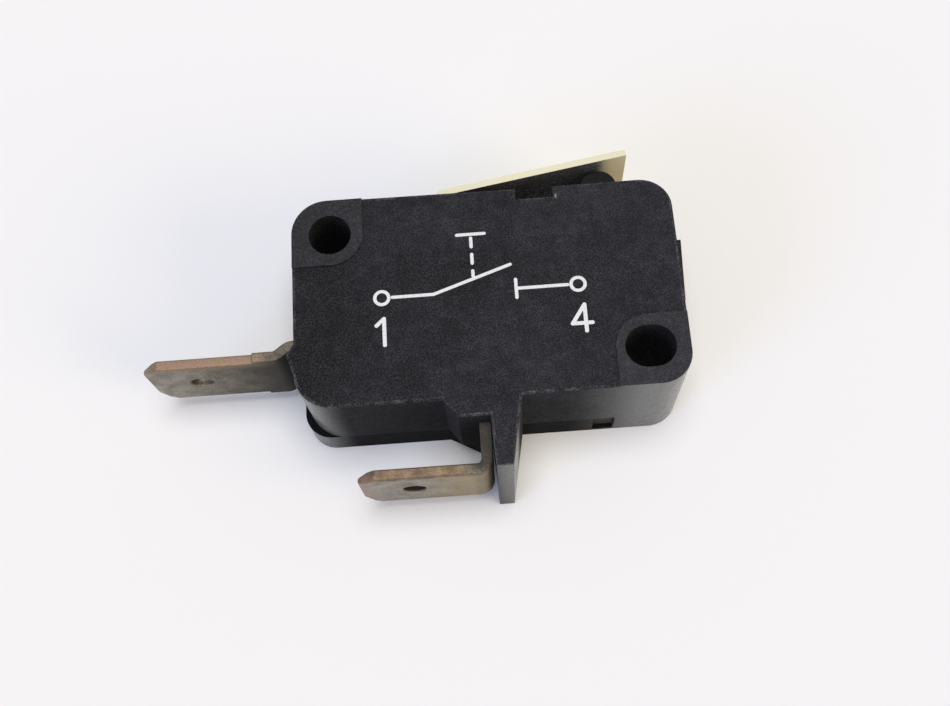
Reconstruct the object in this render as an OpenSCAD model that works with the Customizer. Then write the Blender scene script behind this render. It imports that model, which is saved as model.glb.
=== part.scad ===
// Snap-action micro switch with a short flat lever and two push-on tabs.
// Origin: axis of the round mounting hole, on the rear face of the cover.
// +X runs along the case to the plunger end, +Y to the plunger side,
// +Z out of the front face. All sizes in millimetres.

/* [Case] */
// Case length, end wall to end wall
case_len = 27.8; // [26.5:0.1:30]
// Case height, bottom wall to plunger wall
case_height = 15.9; // [15.5:0.1:18]
// Case depth over the raised pads
case_depth = 10.3; // [9.8:0.1:12]
// Distance from a mounting hole to the two nearest case walls
hole_edge = 2.8; // [2.6:0.05:3.4]
// Distance between the two mounting holes along the case
hole_pitch_x = 22.2; // [21.6:0.1:22.6]
// Distance between the two mounting holes across the case
hole_pitch_y = 10.3; // [10:0.1:10.6]
// Diameter of the round mounting hole and width of the long one
hole_d = 3.1; // [2.9:0.05:3.3]
// Length of the long mounting hole
slot_len = 3.6; // [3.4:0.05:3.8]
// Thickness of the side walls
wall = 1.3; // [1:0.05:1.5]
// Thickness of the front face
face_wall = 1.3; // [1:0.05:1.6]
// Radius of the case corner at the round hole
corner_tl = 2.6; // [1.5:0.1:2.8]
// Radius of the case corner at the plunger end
corner_tr = 2.3; // [1.5:0.1:2.8]
// Radius of the case corner at the long hole
corner_br = 2.3; // [1.5:0.1:2.8]
// Radius of the case corner below the common terminal
corner_bl = 2.7; // [1.5:0.1:3]
// Height of the raised pads around the mounting holes
pad_rise = 0.2; // [0.1:0.05:0.4]
// Reach of a raised pad from its hole
pad_reach = 2.4; // [2.2:0.05:2.7]
// Plastic around the round hole inside the case
boss_wall = 0.95; // [0.7:0.05:1.1]
// Plastic beside the long hole
boss_side = 0.45; // [0.3:0.05:0.6]

/* [Cover] */
// Depth of the cover, rear face to parting line
cover_depth = 2.85; // [2.4:0.05:3]
// Thickness of the cover plate
cover_wall = 1.3; // [1:0.05:1.6]
// Radius of the cover corner below the common terminal
cover_corner = 2; // [1:0.1:2.6]
// How far the cover stands out below the common terminal
cover_end = 0.35; // [0.1:0.05:0.6]
// Length of the relief in the cover's bottom edge
relief_len = 1.6; // [1:0.1:2.4]
// Depth of the relief in the cover's bottom edge
relief_cut = 0.35; // [0.2:0.05:0.6]
// Height of the cover edge left under that relief
relief_floor = 0.3; // [0.2:0.05:0.6]
// Width of the cover's rim around the two hole columns
rim = 0.6; // [0.4:0.05:0.8]
// Diameter of the staked pegs that hold the cover
peg_d = 1.2; // [0.9:0.05:1.5]
// Peg below the round hole, along the case
peg_a_x = 0.3; // [0:0.1:0.8]
// Height of that peg above the case bottom
peg_a_up = 2.9; // [2.6:0.1:3.2]
// Peg at the plunger end, in from the case end
peg_b_in = 2.5; // [2.2:0.1:2.8]
// Drop of that peg below the round hole
peg_b_drop = 4.6; // [4.2:0.1:5]
// Plastic around a peg
peg_wall = 0.5; // [0.4:0.05:0.7]
// How far a staked peg stays below the rear face
peg_sink = 0.15; // [0.05:0.05:0.3]

/* [Hoods and barrier] */
// Height of the hood over the contact terminal
hood_rise = 1.3; // [0.8:0.05:1.6]
// Height of the cover's part of that hood
cover_hood = 1.25; // [1:0.05:1.6]
// Length of the hood along the case, slope included
hood_len = 2.3; // [1.8:0.05:3]
// Length of the slope on the housing's part of that hood
hood_slope = 0.95; // [0.6:0.05:1.2]
// How far the end hood stands out of the case end
end_hood = 0.55; // [0.3:0.05:0.9]
// Drop of the end hood's tip below the common terminal
end_hood_drop = 0.7; // [0.5:0.05:1]
// Height of the end hood's foot above the case bottom
end_hood_foot = 2.15; // [2.1:0.05:2.4]
// Height of the barrier rib below the case
barrier_len = 5.3; // [3.5:0.05:6.5]
// Thickness of the barrier rib at its root
barrier_root = 2.3; // [1.6:0.05:2.6]
// Thickness of the barrier rib at its tip
barrier_tip = 1.1; // [0.8:0.05:1.4]
// Lean of the barrier rib on the leg's side
barrier_lean = 0.2; // [0:0.05:0.3]
// Shortening of the barrier rib from the rear face to the front face
barrier_draft = 0.4; // [0.2:0.05:0.6]
// How far the end lug stands out of the plunger end at its top
lug_rise = 0.3; // [0.15:0.05:0.5]
// How far the end lug stands out at its foot
lug_foot = 0.08; // [0.05:0.01:0.2]
// Lower end of the end lug below the round hole
lug_drop = 6.9; // [6.4:0.1:7.2]
// Length of the end lug
lug_len = 4.7; // [3.6:0.1:5]
// Step from the front face down to the end lug
lug_step = 0.3; // [0.2:0.05:0.5]
// Length of the gate relief in the front edge of the plunger wall
gate_len = 2.7; // [1.5:0.1:3.5]
// Depth of the gate relief
gate_cut = 0.85; // [0.5:0.05:1]
// Reach of the gate relief from the front face
gate_reach = 2.4; // [1.6:0.1:3]
// Near end of the gate relief from the round hole along the case
gate_x = 13.7; // [11:0.1:14.5]

/* [Terminals] */
// Width of a push-on tab
tab_w = 6.3; // [5.8:0.05:6.4]
// Room between the common strip's wide part and the front wall
strip_room = 0.15; // [0.1:0.05:0.4]
// Distance from the case end to the strip's shoulder
shoulder_out = 3.3; // [2.6:0.05:4]
// Sheet thickness of a tab
tab_t = 0.8; // [0.7:0.05:0.9]
// Corner cut at the tip of a tab
tab_cut = 1.2; // [0.8:0.05:1.6]
// Thinning of the tip on each side
tip_thin = 0.2; // [0.1:0.02:0.25]
// Length of the thinned tip
tip_len = 0.75; // [0.5:0.05:1]
// Diameter of the locking hole in a tab
tab_hole_d = 1.65; // [1.4:0.05:1.9]
// Distance from the tip of a tab to its locking hole
tab_hole_tip = 3.85; // [3.3:0.05:4.4]
// Reach of the common tab out of the case end
common_reach = 11.5; // [9.5:0.05:12.5]
// Mid-plane of the common sheet inside the case, below the round hole
common_drop = 7.75; // [7.5:0.05:7.8]
// Height of the step between the inner strip and the outer tab
common_step = 0.7; // [0.5:0.05:1]
// Length of that step
step_len = 1.4; // [1.2:0.05:2]
// Straight run between the step and the case
step_run = 0.4; // [0.3:0.05:0.6]
// Mid-plane of the contact leg from the round hole along the case
leg_x = 10.3; // [9.9:0.05:10.6]
// Distance from the case bottom to the underside of the contact tab
leg_drop = 4.95; // [4.2:0.05:5.6]
// Length of the contact tab from leg mid-plane to tip
contact_reach = 9.2; // [8.5:0.05:10]
// How much narrower the inner arm is than its tab
arm_cut = 1.2; // [0.8:0.05:1.6]
// Reach of the inner arm beyond the fixed contact's head
arm_over = 0.3; // [0.2:0.05:0.5]
// Thickness of the ledge under the common terminal
ledge = 1.2; // [1.1:0.1:1.4]
// Width of the seat under the inner arm
seat_w = 2.4; // [2:0.1:3]
// Inner bend radius of the terminals
bend_r = 0.3; // [0.25:0.05:0.6]

/* [Lever] */
// Sheet thickness of the lever
lever_t = 0.5; // [0.4:0.02:0.6]
// Width of the lever blade
lever_w = 8.3; // [7:0.1:8.8]
// Length of the lever from pivot to tip
lever_len = 14.25; // [13.4:0.05:17]
// Free angle of the lever to the case wall
lever_angle = 9.2; // [9:0.1:10]
// Pivot position from the round hole along the case
pivot_x = 8.4; // [7.8:0.05:8.8]
// Pivot depth below the plunger wall's outer face
pivot_drop = 1.25; // [1.2:0.02:1.35]
// Height of the lever's underside above the pivot
lever_offset = 1.47; // [1.45:0.01:1.6]
// Diameter of the pivot pin
pin_d = 1; // [0.8:0.02:1.1]
// Depth of the pivot pin in the cover and in the front face
pin_seat = 0.45; // [0.3:0.05:0.6]
// Outer bend radius at the lever's tail, as a share of its thickness
bend_share = 0.8; // [0.5:0.05:0.9]
// Width of the rolled eye
eye_w = 4.8; // [4:0.1:5]
// Offset of the eye from mid-depth to the front face
eye_shift = 0.4; // [0.2:0.05:0.5]

/* [Plunger] */
// Plunger position from the round hole along the case
plunger_x = 20; // [19.6:0.05:20.2]
// Width of the plunger along the case
plunger_w = 2.8; // [2.4:0.05:3]
// Room between the plunger and the front wall
plunger_room = 0.75; // [0.6:0.05:1.2]
// Radius of the plunger's upper edges
plunger_r = 1.3; // [0.9:0.05:1.35]
// Overhang of the plunger's inner shoulder
shoulder = 0.5; // [0.3:0.05:0.7]
// Thickness of the plunger's inner shoulder
shoulder_t = 1; // [0.8:0.05:1.4]
// Width of the plunger's foot
foot_w = 1.3; // [1:0.05:1.6]

/* [Contacts] */
// Mid-plane of the moving blade below the round hole
blade_drop = 5.4; // [5.3:0.02:5.5]
// Thickness of the moving blade
blade_t = 0.25; // [0.2:0.01:0.3]
// Width of the moving blade
blade_w = 5.1; // [4.6:0.05:5.3]
// Reach of the blade beyond the fulcrum and beyond the plunger
blade_over = 0.9; // [0.6:0.05:1.1]
// Diameter of the blade's rolled pivot bead
bead_d = 0.6; // [0.5:0.02:0.7]
// Blade fulcrum from the round hole along the case
fulcrum_x = 3.6; // [3.4:0.05:3.8]
// Width of the fulcrum lug
lug_w = 1.1; // [0.9:0.05:1.3]
// Height of the fulcrum lug above the blade
lug_top = 0.8; // [0.6:0.05:1]
// Start of the blade's spring window from the fulcrum
window_start = 1.6; // [1.3:0.05:2]
// End of the blade's spring window from the round hole
window_end = 11.4; // [10.8:0.1:11.8]
// Room beside the spring in that window
window_side = 0.3; // [0.2:0.05:0.4]
// Length of the blade's upper stop
stop_len = 2; // [1.6:0.1:2.2]
// Contact position from the round hole along the case
contact_x = 16.5; // [16.2:0.05:16.8]
// Diameter of the contact heads
contact_d = 3; // [2.6:0.05:3.2]
// Height of a contact head
contact_h = 0.8; // [0.7:0.02:0.9]
// Diameter of the contact shanks
shank_d = 1.4; // [1.2:0.05:1.6]
// How much wider the moving contact's riveted tail is than its shank
tail_over = 0.5; // [0.4:0.05:0.6]
// Height of that tail
tail_h = 0.3; // [0.2:0.02:0.36]
// Sphere radius of the moving contact's dome
dome_r = 5; // [4.5:0.1:7]
// Distance between the contacts with the plunger out
contact_gap = 1.36; // [1.36:0.02:1.6]
// Thickness of the snap spring
spring_t = 0.16; // [0.12:0.01:0.2]
// Width of the snap spring
spring_w = 2; // [1.6:0.05:2.1]
// Height of the snap spring's bow
spring_bow = 1.5; // [1.2:0.05:1.8]
// Landing of the snap spring beyond the window
spring_land = 0.4; // [0.3:0.05:0.5]

/* [Fits] */
// Clearance between seated pieces of the case
seam = 0.05; // [0.03:0.01:0.08]
// Clearance of a terminal in its slot
slot_clear = 0.04; // [0.03:0.01:0.06]
// Clearance of the plunger in its guide
guide_clear = 0.1; // [0.07:0.01:0.14]
// Clearance of the eye on the pivot pin
pin_clear = 0.05; // [0.03:0.01:0.08]
// Room at each end of the pivot pin
pin_end = 0.05; // [0.03:0.01:0.1]
// Clearance of the pivot pin in its two seats
pin_fit = 0.01; // [0.01:0.01:0.03]
// Gap between the blade's bead and the fulcrum post
fulcrum_gap = 0.08; // [0.06:0.01:0.1]
// Clearance of the blade around the fulcrum lug
lug_clear = 0.12; // [0.1:0.01:0.15]
// Gap between the snap spring and the fulcrum lug
spring_gap = 0.15; // [0.12:0.01:0.2]
// Gap between the blade's upper stop and the contact head
stop_gap = 0.2; // [0.15:0.01:0.3]
// Gap between the lever and the plunger, and the plunger and the blade
push_gap = 0.06; // [0.05:0.01:0.09]
// Room around the moving lever tail
tail_room = 0.2; // [0.15:0.01:0.3]

/* [Hidden] */
$fn = 64;
// Overlap of joined forms
root = 0.4;
// Overrun of cuts
over = 1;
x0 = -hole_edge;
x1 = x0 + case_len;
y1 = hole_edge;
y0 = y1 - case_height;
face_z = case_depth - pad_rise;
roof_z = face_z - face_wall;
mid_z = case_depth / 2;
hole_r = hole_d / 2;
boss_r = hole_r + boss_wall;
boss_left = hole_pitch_x - slot_len / 2 - boss_side;
boss_top = -hole_pitch_y + pad_reach;
tab_z0 = mid_z - tab_w / 2;
tab_z1 = mid_z + tab_w / 2;
strip_z1 = roof_z - strip_room;
strip_z0 = 2 * mid_z - strip_z1;
shoulder_x = x0 - shoulder_out;
leg_left = leg_x - tab_t / 2;
leg_right = leg_x + tab_t / 2;
hood_right = leg_left - slot_clear;
hood_left = hood_right - hood_len;
barrier_left = leg_right + slot_clear;
barrier_y = y0 - barrier_len;
pivot_y = y1 - pivot_drop;
eye_in = pin_d / 2 + pin_clear;
eye_out = eye_in + lever_t;
eye_z0 = mid_z + eye_shift - eye_w / 2;
eye_z1 = eye_z0 + eye_w;
plunger_z0 = cover_depth + guide_clear;
plunger_d = roof_z - plunger_room - plunger_z0;
plunger_arc_x = plunger_x - plunger_w / 2 + plunger_r;
plunger_arc_y = pivot_y + (lever_offset - plunger_r
    + (plunger_arc_x - pivot_x) * sin(lever_angle)) / cos(lever_angle);
plunger_top = plunger_arc_y + plunger_r - push_gap;
blade_y = -blade_drop;
blade_top = blade_y + blade_t / 2;
blade_low = blade_y - blade_t / 2;
foot_low = blade_top + push_gap;
shoulder_top = y1 - wall - seam;
common_y = -common_drop;
common_tab_y = common_y - common_step;
common_tip = x0 - common_reach;
contact_tab_y = y0 - leg_drop + tab_t / 2;
contact_tip = leg_x - contact_reach;
fixed_top = blade_low - contact_h - contact_gap;
arm_top = fixed_top - contact_h;
arm_low = arm_top - tab_t;
arm_end = contact_x + contact_d / 2 + arm_over;
arm_w = tab_w - arm_cut;
stop_right = contact_x - contact_d / 2 - stop_gap;
stop_left = stop_right - stop_len;
peg_a = [peg_a_x, y0 + peg_a_up];
peg_b = [x1 - peg_b_in, -peg_b_drop];
peg_boss = peg_d / 2 + peg_wall;

// One quarter of plate corner outside a round of radius r, pointing to [sx, sy].
module corner_waste(x, y, r, sx, sy) {
    difference() {
        translate([x - (sx < 0 ? over : r), y - (sy < 0 ? over : r)])
            square(r + over);
        translate([x - sx * r, y - sy * r])
            circle(r);
    }
}

// Plate of the case with the lower left corner of radius bl.
module plate(bl) {
    difference() {
        translate([x0, y0])
            square([case_len, case_height]);
        corner_waste(x0, y1, corner_tl, -1, 1);
        corner_waste(x1, y1, corner_tr, 1, 1);
        corner_waste(x1, y0, corner_br, 1, -1);
        corner_waste(x0, y0, bl, -1, -1);
    }
}

// Hood over the contact terminal of height h up to the place e, with a slope of length s.
module hood_plan(h, s, e) {
    polygon([[hood_left, y0 + root], [hood_left, y0], [hood_left + s, y0 - h],
        [e, y0 - h], [e, y0 + root]]);
}

// Hood under the common terminal, sloped into the lower corner.
module end_hood_plan() {
    top = common_y - tab_t / 2 - slot_clear;
    foot = y0 + end_hood_foot;
    polygon([[x0 + root, top], [x0, top], [x0 - end_hood, top - end_hood_drop],
        [x0 + root / 3, foot], [x0 + root, foot]]);
}

// Barrier rib beside the contact terminal.
module barrier_plan() {
    polygon([[barrier_left, y0 + root], [barrier_left + barrier_root, y0 + root],
        [barrier_left + barrier_root, y0], [barrier_left + barrier_lean + barrier_tip, barrier_y],
        [barrier_left + barrier_lean, barrier_y], [barrier_left, y0 - hood_rise]]);
}

// Waste below the barrier's tip, which slopes from the rear face to the front face.
module barrier_waste() {
    translate([barrier_left - over, barrier_y, 0])
        rotate([-atan(barrier_draft / face_z), 0, 0])
            translate([0, -2 * over, -over])
                cube([barrier_root + 2 * over, 2 * over, case_depth + 2 * over]);
}

// Column of plastic around the round hole, grown by g for the cover's cut.
module boss_a_plan(g) {
    circle(boss_r + g);
    translate([x0 - over, -boss_r - g])
        square([over - x0, boss_r + g + y1 + over]);
    translate([x0 - over, 0])
        square([boss_r + g + over - x0, y1 + over]);
}

// Column of plastic around the long hole, grown by g for the cover's cut.
module boss_b_plan(g) {
    translate([boss_left - g, y0 - over])
        square([x1 + over - boss_left + g, boss_top + g - y0 + over]);
}

// Raised pad reaching from a hole to the case corner at [sx, sy].
module pad_plan(x, y, sx, sy) {
    far = 2 * hole_edge;
    translate([x, y]) {
        circle(pad_reach);
        translate([sx < 0 ? -far : 0, sy < 0 ? -far : -pad_reach])
            square([far, far + pad_reach]);
        translate([sx < 0 ? -far : -pad_reach, sy < 0 ? -far : 0])
            square([far + pad_reach, far]);
    }
}

// Long mounting hole.
module slot_plan() {
    offset_x = (slot_len - hole_d) / 2;
    translate([hole_pitch_x, -hole_pitch_y]) {
        translate([-offset_x, 0])
            circle(hole_r);
        translate([offset_x, 0])
            circle(hole_r);
        translate([-offset_x, -hole_r])
            square([2 * offset_x, hole_d]);
    }
}

// Hollow of the case between the walls, bosses, stops and ledges.
module hollow_plan() {
    difference() {
        translate([x0 + wall, y0 + wall])
            square([case_len - 2 * wall, case_height - 2 * wall]);
        boss_a_plan(0);
        boss_b_plan(0);
        translate([stop_left, blade_top + push_gap])
            square([stop_len, case_height]);
        translate([x0, common_y - tab_t / 2 - slot_clear - ledge])
            square([fulcrum_x - x0 - over, ledge]);
        translate([contact_x - seat_w / 2, y0])
            square([seat_w, arm_low - slot_clear - y0]);
        translate(peg_a)
            circle(peg_boss);
        translate(peg_b)
            circle(peg_boss);
        translate([peg_b[0], peg_b[1] - peg_boss])
            square([x1 - peg_b[0], 2 * peg_boss]);
    }
}

// Slot of the common terminal through the case end, from depth z on.
module common_slot(z) {
    translate([x0 - 2 * over, common_y - tab_t / 2 - slot_clear, z])
        cube([wall + 2 * over + root, tab_t + 2 * slot_clear, strip_z1 + slot_clear - z]);
}

// Slot of the contact terminal through the case bottom, from depth z on.
module leg_slot(z) {
    translate([leg_left - slot_clear, y0 - 2 * hood_rise, z])
        cube([tab_t + 2 * slot_clear, wall + 2 * hood_rise + root, tab_z1 + slot_clear - z]);
}

// Front half of the case with its bosses, pads, barrier and pegs.
module housing() {
    color([0.13, 0.13, 0.14])
        difference() {
            union() {
                difference() {
                    translate([0, 0, cover_depth])
                        linear_extrude(face_z - cover_depth)
                            union() {
                                plate(corner_bl);
                                hood_plan(hood_rise, hood_slope, barrier_left + root);
                                end_hood_plan();
                                barrier_plan();
                            }
                    translate([0, 0, cover_depth - over])
                        linear_extrude(roof_z - cover_depth + over)
                            hollow_plan();
                }
                linear_extrude(cover_depth + root)
                    intersection() {
                        plate(corner_bl);
                        union() {
                            boss_a_plan(0);
                            boss_b_plan(0);
                        }
                    }
                linear_extrude(cover_depth + root)
                    intersection() {
                        barrier_plan();
                        translate([x0, y0 - seam - case_height])
                            square([case_len, case_height]);
                    }
                translate([0, 0, face_z - root])
                    linear_extrude(pad_rise + root)
                        intersection() {
                            plate(corner_bl);
                            union() {
                                pad_plan(0, 0, -1, 1);
                                pad_plan(hole_pitch_x, -hole_pitch_y, 1, -1);
                            }
                        }
                translate([x1, -lug_drop, cover_depth])
                    linear_extrude(face_z - cover_depth - lug_step)
                        polygon([[-root, 0], [lug_foot, 0], [lug_rise, lug_len], [-root, lug_len]]);
                for (p = [peg_a, peg_b])
                    translate([p[0], p[1], peg_sink])
                        cylinder(d = peg_d, h = cover_depth + root);
            }
            translate([0, 0, -over])
                cylinder(r = hole_r, h = case_depth + 2 * over);
            translate([0, 0, -over])
                linear_extrude(case_depth + 2 * over)
                    slot_plan();
            barrier_waste();
            common_slot(cover_depth - over);
            leg_slot(cover_depth - over);
            translate([plunger_x - plunger_w / 2 - guide_clear, y1 - wall - root, cover_depth - over])
                cube([plunger_w + 2 * guide_clear, wall + 2 * over, plunger_d + 2 * guide_clear + over]);
            translate([pivot_x - eye_out - tail_room, y1 - wall - root, cover_depth - over])
                cube([2 * (eye_out + tail_room), wall + 2 * over, eye_z1 + tail_room - cover_depth + over]);
            translate([pivot_x, pivot_y, eye_z1])
                cylinder(r = pin_d / 2 + pin_fit, h = roof_z + pin_seat + pin_end - eye_z1);
            translate([gate_x, y1 - gate_cut, face_z - gate_reach])
                cube([gate_len, gate_cut + over, gate_reach + over]);
        }
}

// Rear cover plate with its rim, cut around the bosses.
module cover() {
    color([0.11, 0.11, 0.12])
        difference() {
            linear_extrude(cover_depth)
                union() {
                    plate(cover_corner);
                    hood_plan(cover_hood, hood_len - seam, hood_right);
                    difference() {
                        translate([x0 - cover_end, y0])
                            square([2 * cover_end + cover_corner, common_y - tab_t - y0]);
                        corner_waste(x0 - cover_end, y0, cover_corner, -1, -1);
                    }
                }
            translate([0, 0, cover_wall])
                linear_extrude(cover_depth)
                    difference() {
                        translate([x0 + wall, y0 + wall])
                            square([case_len - 2 * wall, case_height - 2 * wall]);
                        boss_a_plan(seam + rim);
                        boss_b_plan(seam + rim);
                        translate(peg_a)
                            circle(peg_boss);
                        translate(peg_b)
                            circle(peg_boss);
                    }
            translate([0, 0, -over])
                linear_extrude(cover_depth + 2 * over)
                    union() {
                        boss_a_plan(seam);
                        boss_b_plan(seam);
                    }
            translate([boss_left - relief_len, y0 - over, relief_floor])
                cube([relief_len, relief_cut + over, cover_depth]);
            for (p = [peg_a, peg_b])
                translate([p[0], p[1], -over])
                    cylinder(d = peg_d + 2 * seam, h = cover_depth + 2 * over);
            common_slot(strip_z0 - slot_clear);
            leg_slot(tab_z0 - slot_clear);
            translate([pivot_x, pivot_y, cover_wall - pin_seat - pin_end])
                cylinder(r = pin_d / 2 + pin_fit, h = cover_depth);
        }
}

// Plunger with rounded head, inner shoulder and foot.
module plunger() {
    color([0.09, 0.09, 0.1])
        translate([0, 0, plunger_z0])
            linear_extrude(plunger_d)
                union() {
                    translate([plunger_x - plunger_w / 2, shoulder_top - shoulder_t])
                        square([plunger_w, plunger_top - plunger_r - shoulder_top + shoulder_t]);
                    for (s = [-1, 1])
                        translate([plunger_x + s * (plunger_w / 2 - plunger_r), plunger_top - plunger_r])
                            circle(plunger_r);
                    translate([plunger_x - plunger_w / 2 + plunger_r, shoulder_top - shoulder_t])
                        square([plunger_w - 2 * plunger_r, plunger_top - shoulder_top + shoulder_t]);
                    translate([plunger_x - plunger_w / 2 - shoulder, shoulder_top - shoulder_t])
                        square([plunger_w + 2 * shoulder, shoulder_t]);
                    translate([plunger_x - foot_w / 2, foot_low + foot_w / 2])
                        square([foot_w, shoulder_top - foot_low - foot_w / 2]);
                    translate([plunger_x, foot_low + foot_w / 2])
                        circle(foot_w / 2);
                }
}

// Flat lever with a bent tail rolled into an eye.
module lever() {
    tail_x = -lever_t / 2;
    lever_top = lever_offset + lever_t;
    color([0.75, 0.72, 0.62])
        translate([pivot_x, pivot_y, 0])
            rotate(lever_angle)
                union() {
                    translate([0, 0, mid_z - lever_w / 2])
                        linear_extrude(lever_w)
                            difference() {
                                translate([tail_x, lever_offset])
                                    square([lever_len - tail_x, lever_t]);
                                corner_waste(tail_x, lever_top, lever_t * bend_share, -1, 1);
                            }
                    translate([0, 0, eye_z0])
                        linear_extrude(eye_w)
                            difference() {
                                union() {
                                    circle(eye_out);
                                    translate([tail_x, 0])
                                        square([lever_t, lever_offset + lever_t / 4]);
                                }
                                circle(eye_in);
                            }
                }
}

// Pivot pin of the lever, held in the cover and the front face.
module lever_pin() {
    color([0.6, 0.6, 0.62])
        translate([pivot_x, pivot_y, cover_wall - pin_seat])
            cylinder(d = pin_d, h = roof_z - cover_wall + 2 * pin_seat);
}

// Mid-line of the common strip across its step, t from 0 at the tab to 1 at the case.
step_x1 = x0 - step_run;
step_x0 = step_x1 - step_len;
step_n = 12;
function step_mid(t) = [step_x0 + (step_x1 - step_x0) * t,
    common_tab_y + common_step * (1 - cos(180 * t)) / 2];
function step_dir(t) = atan2(common_step * 90 * (PI / 180) * sin(180 * t), step_x1 - step_x0);
function step_side(t, s) = step_mid(t)
    + s * tab_t / 2 * [-sin(step_dir(t)), cos(step_dir(t))];

// Common terminal: tab, step, inner strip and fulcrum post.
module common_terminal() {
    post_right = fulcrum_x + tab_t / 2;
    post_low = common_y - tab_t / 2;
    color([0.72, 0.67, 0.55])
        difference() {
            union() {
                intersection() {
                    translate([0, 0, strip_z0])
                        linear_extrude(strip_z1 - strip_z0)
                            polygon(concat(
                                [[common_tip, common_tab_y - tab_t / 2 + tip_thin],
                                    [common_tip + tip_len, common_tab_y - tab_t / 2]],
                                [for (i = [0:step_n]) step_side(i / step_n, -1)],
                                [[fulcrum_x, post_low], [fulcrum_x, post_low + tab_t]],
                                [for (i = [step_n:-1:0]) step_side(i / step_n, 1)],
                                [[common_tip + tip_len, common_tab_y + tab_t / 2],
                                    [common_tip, common_tab_y + tab_t / 2 - tip_thin]]));
                    translate([0, common_tab_y - tab_w / 2, 0])
                        rotate([-90, 0, 0])
                            linear_extrude(tab_w)
                                polygon([[common_tip, -tab_z1 + tab_cut], [common_tip + tab_cut, -tab_z1],
                                    [shoulder_x, -tab_z1], [shoulder_x, -strip_z1],
                                    [post_right, -strip_z1], [post_right, -strip_z0],
                                    [shoulder_x, -strip_z0], [shoulder_x, -tab_z0],
                                    [common_tip + tab_cut, -tab_z0], [common_tip, -tab_z0 - tab_cut]]);
                }
                translate([post_right - tab_t, post_low, mid_z - blade_w / 2])
                    cube([tab_t, blade_y - bead_d / 2 - fulcrum_gap - post_low, blade_w]);
                translate([post_right - tab_t, post_low, mid_z - lug_w / 2])
                    cube([tab_t, blade_y + lug_top - post_low, lug_w]);
            }
            translate([common_tip + tab_hole_tip, common_tab_y - tab_t, mid_z])
                rotate([-90, 0, 0])
                    cylinder(d = tab_hole_d, h = 2 * tab_t);
        }
}

// Contact terminal: tab, leg through the case bottom and inner arm.
module contact_terminal() {
    bend_out = bend_r + tab_t;
    tab_low = contact_tab_y - tab_t / 2;
    color([0.72, 0.67, 0.55])
        difference() {
            union() {
                intersection() {
                    translate([0, 0, tab_z0])
                        linear_extrude(tab_w)
                            polygon([[contact_tip, tab_low + tip_thin], [contact_tip + tip_len, tab_low],
                                [leg_right - bend_out, tab_low], [leg_right - bend_out, tab_low + tab_t],
                                [contact_tip + tip_len, tab_low + tab_t],
                                [contact_tip, tab_low + tab_t - tip_thin]]);
                    translate([0, contact_tab_y - tab_w / 2, 0])
                        rotate([-90, 0, 0])
                            linear_extrude(tab_w)
                                polygon([[contact_tip, -tab_z1 + tab_cut], [contact_tip + tab_cut, -tab_z1],
                                    [leg_right, -tab_z1], [leg_right, -tab_z0],
                                    [contact_tip + tab_cut, -tab_z0], [contact_tip, -tab_z0 - tab_cut]]);
                }
                translate([0, 0, tab_z0])
                    linear_extrude(tab_w)
                        union() {
                            intersection() {
                                translate([leg_right - bend_out, tab_low + bend_out])
                                    difference() {
                                        circle(bend_out);
                                        circle(bend_r);
                                    }
                                translate([leg_right - bend_out, tab_low])
                                    square(bend_out);
                            }
                            translate([leg_left, tab_low + bend_out])
                                square([tab_t, y0 + wall + root - tab_low - bend_out]);
                        }
                translate([0, 0, mid_z - arm_w / 2])
                    linear_extrude(arm_w)
                        union() {
                            translate([leg_left, y0 + wall])
                                square([tab_t, arm_top - bend_out - y0 - wall]);
                            intersection() {
                                translate([leg_left + bend_out, arm_top - bend_out])
                                    difference() {
                                        circle(bend_out);
                                        circle(bend_r);
                                    }
                                translate([leg_left, arm_top - bend_out])
                                    square(bend_out);
                            }
                            translate([leg_left + bend_out, arm_low])
                                square([arm_end - leg_left - bend_out, tab_t]);
                        }
            }
            translate([contact_tip + tab_hole_tip, contact_tab_y - tab_t, mid_z])
                rotate([-90, 0, 0])
                    cylinder(d = tab_hole_d, h = 2 * tab_t);
            translate([contact_x, arm_low - over, mid_z])
                rotate([-90, 0, 0])
                    cylinder(d = shank_d, h = tab_t + 2 * over);
        }
}

// Moving blade, slotted over the fulcrum lug, with a window for the spring.
module blade() {
    window = window_end - fulcrum_x - window_start;
    color([0.78, 0.6, 0.35])
        difference() {
            union() {
                translate([fulcrum_x - blade_over, blade_low, mid_z - blade_w / 2])
                    cube([plunger_x - fulcrum_x + 2 * blade_over, blade_t, blade_w]);
                translate([fulcrum_x, blade_y, mid_z - blade_w / 2])
                    cylinder(d = bead_d, h = blade_w);
            }
            translate([fulcrum_x - tab_t / 2 - lug_clear, blade_low - over, mid_z - lug_w / 2 - lug_clear])
                cube([tab_t + 2 * lug_clear, blade_t + 2 * over, lug_w + 2 * lug_clear]);
            translate([fulcrum_x + window_start, blade_low - over, mid_z - spring_w / 2 - window_side])
                cube([window, blade_t + 2 * over, spring_w + 2 * window_side]);
            translate([contact_x, blade_low - over, mid_z])
                rotate([-90, 0, 0])
                    cylinder(d = shank_d, h = blade_t + 2 * over);
        }
}

// Bowed leaf between the fulcrum lug and the far end of the blade's window.
module snap_spring() {
    left = fulcrum_x + tab_t / 2 + spring_gap;
    right = window_end + spring_land;
    chord = right - left;
    bow_r = (chord * chord / 4 + spring_bow * spring_bow) / (2 * spring_bow);
    color([0.7, 0.7, 0.72])
        translate([0, 0, mid_z - spring_w / 2])
            linear_extrude(spring_w)
                intersection() {
                    translate([(left + right) / 2, blade_top + spring_t + spring_bow - bow_r])
                        difference() {
                            circle(bow_r, $fn = 128);
                            circle(bow_r - spring_t, $fn = 128);
                        }
                    translate([left, blade_top])
                        square([chord, spring_bow + over]);
                }
}

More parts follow.
